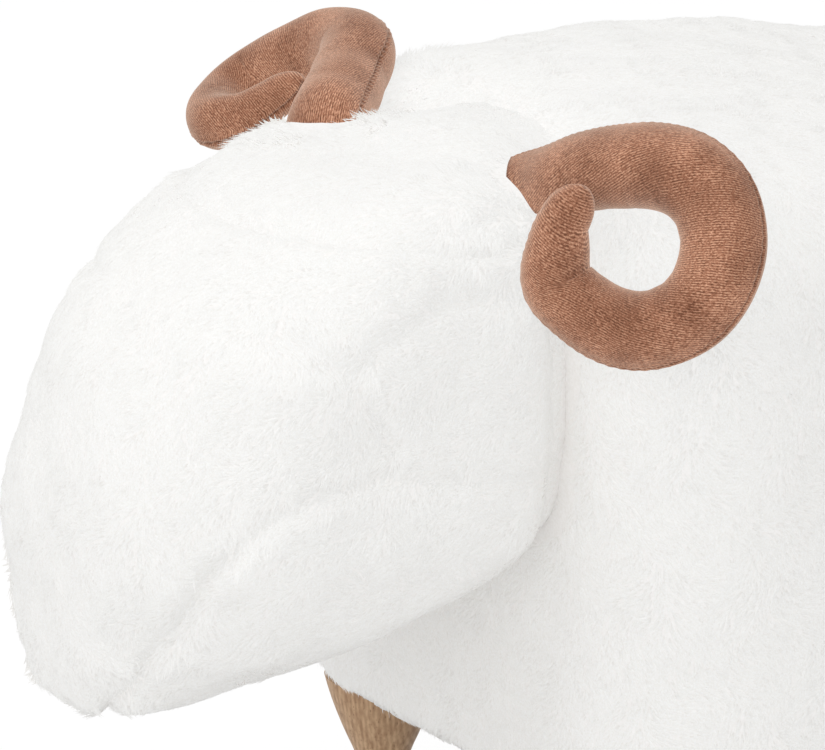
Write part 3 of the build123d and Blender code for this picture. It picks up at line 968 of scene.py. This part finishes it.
def velvet_finish():
    """Brown ribbed velvet: ribs a millimetre apart on the cloth's flat map, broken into short tufts, with
    brushed lighter patches, creases darkened by painted shade and a sheen."""
    finish, nodes, link, shader = new_finish("horn_velvet")
    flat = nodes.new("ShaderNodeUVMap")
    flat.uv_map = "grain"
    warp = noise_on(nodes, link, flat.outputs["UV"], scale=0.04, detail=2)
    push = nodes.new("ShaderNodeVectorMath")
    push.operation = "SCALE"
    push.inputs["Scale"].default_value = 3.0
    link(warp.outputs["Color"], push.inputs[0])
    bent = nodes.new("ShaderNodeVectorMath")
    bent.operation = "ADD"
    link(flat.outputs["UV"], bent.inputs[0])
    link(push.outputs["Vector"], bent.inputs[1])
    cloth = bent.outputs["Vector"]
    rib = bands_on(nodes, link, cloth, scale=0.3, distortion=0.5, detail=1, detail_scale=3.0)
    rib.bands_direction = "Y"
    short = stretched(nodes, link, cloth, (0.7, 1.5, 1))
    tuft = noise_on(nodes, link, short, scale=1.25, detail=2, roughness=0.7)
    low = worked_out(nodes, link, "MULTIPLY", rib.outputs["Fac"], 0.6)
    height = worked_out(nodes, link, "MULTIPLY_ADD", tuft.outputs["Fac"], 3.4, low)
    share = worked_out(nodes, link, "MULTIPLY", height, 0.25)
    dark, plain, light = colour(118, 76, 56), colour(174, 119, 92), colour(230, 178, 147)
    tone = ramp(nodes, link, share, ((0.34, dark), (0.5, plain), (0.66, light)))
    patch = object_noise(nodes, link, scale=38, detail=3.0)
    worn = ramp(nodes, link, patch, ((0.32, colour(204, 195, 189)), (0.62, plain_white)))
    # Painted shade: the colour darkens with the horn's kept crease depth, in the groove, the puckers and at
    # the cut root
    crease_shade = named_value(nodes, "crease_shade")
    deep = ramp(nodes, link, crease_shade, ((0.0, plain_white), (1.0, colour(150, 130, 122))))
    brushed = product(nodes, link, tone, worn)
    link(product(nodes, link, brushed, deep), shader.inputs["Base Color"])
    bump(nodes, link, height, shader, strength=0.8, distance=0.12 * MM)
    settle(shader, {"Roughness": 0.9, "Specular IOR Level": 0.2})
    sheen_tint = colour(255, 226, 206)
    settle(shader, {"Sheen Weight": 0.9, "Sheen Roughness": 0.4, "Sheen Tint": sheen_tint})
    return finish


def wood_finish(name, light, dark, ring_scale, grain_stretch, roughness):
    """Plain sawn or turned wood: growth rings wandering along the grain, fine streaks and dark pores."""
    finish, nodes, link, shader = new_finish(name)
    place = nodes.new("ShaderNodeTexCoord").outputs["Object"]
    grain = stretched(nodes, link, place, grain_stretch)
    ring = bands_on(nodes, link, grain, ring_scale, distortion=3, detail=3, detail_scale=0.8)
    ring.wave_type = "RINGS"
    ring.rings_direction = "Z"
    streak = noise_on(nodes, link, grain, scale=480, detail=4).outputs["Fac"]
    figure = worked_out(nodes, link, "MULTIPLY_ADD", ring.outputs["Fac"], 0.17, streak)
    tone = ramp(nodes, link, figure, ((0.38, dark), (0.8, light)))
    pore = noise_on(nodes, link, grain, scale=1600, detail=1).outputs["Fac"]
    spots = ramp(nodes, link, pore, ((0.26, colour(188, 168, 150)), (0.36, plain_white)))
    link(product(nodes, link, tone, spots), shader.inputs["Base Color"])
    bump(nodes, link, streak, shader, strength=0.15, distance=0.2 * MM)
    settle(shader, {"Roughness": roughness})
    return finish


def plain_finish(name, dark, light, scale, roughness, metal=0.0, depth=0.1 * MM):
    """A finish with two close tones mixed by fine noise and a faint bump from it."""
    finish, nodes, link, shader = new_finish(name)
    grain = object_noise(nodes, link, scale, detail=4.0)
    link(ramp(nodes, link, grain, ((0.3, dark), (0.7, light))), shader.inputs["Base Color"])
    bump(nodes, link, grain, shader, strength=0.4, distance=depth)
    settle(shader, {"Roughness": roughness, "Metallic": metal})
    return finish


def dress(names, finish):
    """Gives CAD nodes their finish in place of the one they were packed with."""
    for name in names:
        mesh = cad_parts[name].data
        mesh.materials.clear()
        mesh.materials.append(finish)


pile_white = pile_finish()
backing_white = backing_finish()

body = body_rings(*body_grid)
head = head_rings(*head_grid)
tail = tail_rings(*tail_grid)
body_skin = skin_piece("body_skin", body, backing_white)
head_skin = skin_piece("head_skin", head, backing_white)
tail_skin = skin_piece("tail_skin", tail, backing_white)
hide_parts("body_cover", "seat_foam", "foam_left", "foam_right", "foam_front", "foam_rear")
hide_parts("head_cover", "head_filling")
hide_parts("tail_cover", "tail_filling")

# Velvet horns
horn_velvet = velvet_finish()
for name, shares, side, face, seam_course, rib_course in (
    ("horn_left", left_horn_shares, 1, left_face, left_seam_course, left_rib_course),
    ("horn_right", right_horn_shares, -1, right_face, right_seam_course, right_rib_course),
):
    rings, grain, crease_shade = horn_rings(shares, side, face, seam_course, rib_course, *horn_grid)
    horn = skin_piece(name, rings, horn_velvet)
    lay_flat_map(horn, grain)
    # The horn keeps its painted crease shade, which darkens its velvet in the groove, the puckers and at the
    # root
    lay_value(horn, "crease_shade", crease_shade)
    horn.visible_diffuse = False
    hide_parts(f"{name}_cover", f"{name}_filling")


def clear_of_horns(points, slack):
    """True where a point is outside both horns by the slack: its distance to their centre lines, sampled
    closely, is over the radius there."""
    clear = np.ones(len(points), bool)
    for shares, side in ((left_horn_shares, 1), (right_horn_shares, -1)):
        centres, radius = horn_line(shares, side, line_points)
        low, high = centres.min(0) - horn_margin - slack, centres.max(0) + horn_margin + slack
        close = np.flatnonzero(((points > low) & (points < high)).all(1))
        gap = np.linalg.norm(points[close, None] - centres[None], axis=-1) - radius[None]
        clear[close] &= gap.min(1) > slack
    return clear


leg_names = ("leg_front_left", "leg_rear_left", "leg_front_right", "leg_rear_right")


def grow_pile(rings, flow_of, others, seed):
    """Locks over a skin, without those whose root lies inside a neighbouring form or whose tip would stand
    in a horn. They are short along the body's lower edge, hang over the tops of the legs and stand up round
    the horns. Returns the locks, the directions they are shaded by and the outward directions."""
    points, normals = scatter(rings, lock_cell, seed)
    keep = np.ones(len(points), bool)
    for distance in others:
        keep &= distance(points) > -root_overlap
    points, normals = points[keep], normals[keep]
    lay = comb(points, normals, flow_of(points), seed + 10)
    shortness = np.ones((len(points), 1))
    height = points[:, 2] - underside
    shortness[height < edge_height] = edge_lock_share
    shortness[height < hem_height] = hem_lock_share
    for leg in leg_names:
        low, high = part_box(leg)
        gap = np.hypot(points[:, 0] - (low.x + high.x) / 2, points[:, 1] - (low.y + high.y) / 2)
        above = (gap < leg_fringe) & (height < edge_height) & (normals[:, 2] > facing_down)
        shortness[above] = leg_lock_share
    snout = (points[:, 1] < front_face) & (height < snout_share * body_height)
    shortness[snout] = np.minimum(shortness[snout], snout_lock_share)
    standing = ~clear_of_horns(points, horn_fringe)[:, None]
    locks, shading = lock_points(points, normals, lay, seed + 20, shortness, standing)
    free = clear_of_horns(locks[:, 4], horn_clearance) & clear_of_horns(locks[:, 3], horn_clearance)
    return locks[free], shading[free], normals[free]


def body_flow(points):
    """Down the walls and a little to the rear; along the top to the rear."""
    flow = np.zeros_like(points)
    flow[:, 1] = 0.45
    flow[:, 2] = -1.0
    return flow


def head_flow(points):
    """Forward over the cheeks and brow, turning down towards the snout."""
    ahead = np.clip((front_face - points[:, 1]) / head_reach, 0, 1)
    flow = np.zeros_like(points)
    flow[:, 1] = -1.0
    flow[:, 2] = -0.15 - 1.3 * ahead**1.5
    return flow


body_locks, body_shading, body_out = grow_pile(body, body_flow, (head_distance, lining_distance), 100)
head_locks, head_shading, head_out = grow_pile(head, head_flow, (body_distance,), 200)
tail_locks, tail_shading, _ = grow_pile(tail, body_flow, (body_distance,), 300)


most_locks = 32000


def share_out(prefix, names_and_masks, locks, shading):
    """One piece of pile for each named stretch, cut into as many as keep each under the face limit."""
    for name, mask in names_and_masks:
        chosen = np.flatnonzero(mask)
        parts = math.ceil(len(chosen) / most_locks)
        for index in range(parts):
            label = f"{prefix}_{name}" if parts == 1 else f"{prefix}_{name}_{index + 1}"
            part = chosen[index * len(chosen) // parts : (index + 1) * len(chosen) // parts]
            pile_piece(label, locks[part], shading[part], pile_white)


# Stretches of pile, told apart by the way they look out: from what upward share on they are level
level = 0.6
brow_level = 0.55
top = body_out[:, 2] > level
under = body_out[:, 2] < -level
wall = ~top & ~under
sideways = np.abs(body_out[:, 0]) > np.abs(body_out[:, 1])
share_out(
    "pile_body",
    (
        ("top", top),
        ("under", under),
        ("left", wall & sideways & (body_out[:, 0] > 0)),
        ("right", wall & sideways & (body_out[:, 0] <= 0)),
        ("front", wall & ~sideways & (body_out[:, 1] <= 0)),
        ("rear", wall & ~sideways & (body_out[:, 1] > 0)),
    ),
    body_locks,
    body_shading,
)
brow = head_out[:, 2] > brow_level
share_out(
    "pile_head",
    (("brow", brow), ("left", ~brow & (head_out[:, 0] > 0)), ("right", ~brow & (head_out[:, 0] <= 0))),
    head_locks,
    head_shading,
)
share_out("pile_tail", (("all", np.ones(len(tail_locks), bool)),), tail_locks, tail_shading)

# Finishes of the CAD nodes that stay
turned_wood = wood_finish(
    "turned_wood",
    light=colour(204, 170, 134),
    dark=colour(160, 122, 88),
    ring_scale=140,
    grain_stretch=(1, 1, 0.04),
    roughness=0.55,
)
board_wood = wood_finish(
    "board_wood",
    light=colour(205, 178, 138),
    dark=colour(168, 135, 96),
    ring_scale=18,
    grain_stretch=(1, 0.06, 1),
    roughness=0.8,
)
lining_cloth = plain_finish("lining_cloth", colour(22, 22, 23), colour(42, 42, 44), 900, 0.95, depth=0.2 * MM)
steel = plain_finish("steel", colour(150, 150, 152), colour(196, 196, 198), 500, 0.35, metal=1.0)
glide_plastic = plain_finish("glide_plastic", colour(196, 192, 184), colour(212, 208, 200), 350, 0.5)
dress(leg_names, turned_wood)
dress(("base_board", "seat_board", "side_rail_left", "side_rail_right"), board_wood)
dress(("end_rail_front", "end_rail_rear", "centre_rib", "corner_blocks"), board_wood)
dress(("frame_screws", "hanger_bolts", "tee_nuts", "staples"), steel)
dress(("lining",), lining_cloth)
dress(("glides",), glide_plastic)


def shown_white(name, share):
    """A white for the floor: lit as usual for the light it sends on, and plain white by the given share
    where the camera, a gloss or glass looks at it, so that only the rest of the shadow shows."""
    finish = bpy.data.materials.new(name)
    finish.use_nodes = True
    nodes = finish.node_tree.nodes
    link = finish.node_tree.links.new
    nodes.clear()
    out = nodes.new("ShaderNodeOutputMaterial")
    matt = nodes.new("ShaderNodeBsdfDiffuse")
    matt.inputs["Color"].default_value = (0.86, 0.86, 0.86, 1)
    glow = nodes.new("ShaderNodeEmission")
    path = nodes.new("ShaderNodeLightPath")
    camera_ray, glossy_ray = path.outputs["Is Camera Ray"], path.outputs["Is Glossy Ray"]
    seen = worked_out(nodes, link, "MAXIMUM", camera_ray, glossy_ray)
    seen = worked_out(nodes, link, "MAXIMUM", seen, path.outputs["Is Transmission Ray"])
    mix = nodes.new("ShaderNodeMixShader")
    link(worked_out(nodes, link, "MULTIPLY", seen, share), mix.inputs["Fac"])
    link(matt.outputs["BSDF"], mix.inputs[1])
    link(glow.outputs["Emission"], mix.inputs[2])
    glow.inputs["Strength"].default_value = 1.05
    link(mix.outputs["Shader"], out.inputs["Surface"])
    return finish


def make_floor(width):
    """A level white floor, much wider than the view."""
    half = width / 2
    mesh = bpy.data.meshes.new("floor")
    corners = [(-half, -half, 0), (half, -half, 0), (half, half, 0), (-half, half, 0)]
    mesh.from_pydata(corners, [], [(0, 1, 2, 3)])
    mesh.materials.append(shown_white("floor_white", 0.85))
    floor = bpy.data.objects.new("floor", mesh)
    scene.collection.objects.link(floor)


def make_sky(strength):
    """Even white light from all round, seen as plain white."""
    world = bpy.data.worlds.new("studio")
    scene.world = world
    world.use_nodes = True
    nodes = world.node_tree.nodes
    link = world.node_tree.links.new
    nodes.clear()
    out = nodes.new("ShaderNodeOutputWorld")
    light = nodes.new("ShaderNodeBackground")
    settle(light, {"Color": plain_white, "Strength": strength})
    plain = nodes.new("ShaderNodeBackground")
    settle(plain, {"Color": plain_white})
    path = nodes.new("ShaderNodeLightPath")
    mix = nodes.new("ShaderNodeMixShader")
    link(path.outputs["Is Camera Ray"], mix.inputs["Fac"])
    link(light.outputs["Background"], mix.inputs[1])
    link(plain.outputs["Background"], mix.inputs[2])
    link(mix.outputs["Shader"], out.inputs["Surface"])


def soft_box(name, place, size, power):
    """A square lamp at a place, aimed at the middle of the body."""
    lamp = bpy.data.lights.new(name, "AREA")
    lamp.shape = "SQUARE"
    lamp.size = size
    lamp.energy = power
    holder = bpy.data.objects.new(name, lamp)
    scene.collection.objects.link(holder)
    holder.location = place
    aim = Vector((0, 0, 0.25)) - Vector(place)
    holder.rotation_mode = "QUATERNION"
    holder.rotation_quaternion = aim.to_track_quat("-Z", "Y")


def make_camera():
    """The photograph's camera: place and aim as fitted, and the lens from the focal length in pixels."""
    data = bpy.data.cameras.new("camera")
    data.sensor_fit = "HORIZONTAL"
    data.sensor_width = sensor_width
    data.lens = focal_pixels * sensor_width / photo_width
    data.clip_start = 0.1
    data.clip_end = 60
    camera = bpy.data.objects.new("camera", data)
    scene.collection.objects.link(camera)
    back = Vector(camera_place - camera_target).normalized()
    turn = (-back).to_track_quat("-Z", "Y")
    camera.matrix_world = Matrix.LocRotScale(Vector(camera_place), turn, None)
    scene.camera = camera


# Stage, light and camera
make_floor(width=24.0)
make_sky(strength=0.78)
lamp_size = 2.0
for name, place, power in (
    ("key", (-0.6, -2.2, 2.6), 10),
    ("front", (1.9, -2.4, 1.2), 11.5),
    ("side", (2.6, -0.4, 1.8), 3),
    ("over", (0.2, -0.2, 3.0), 9),
):
    soft_box(name, place, lamp_size, power)
make_camera()
scene.view_settings.view_transform = "Standard"
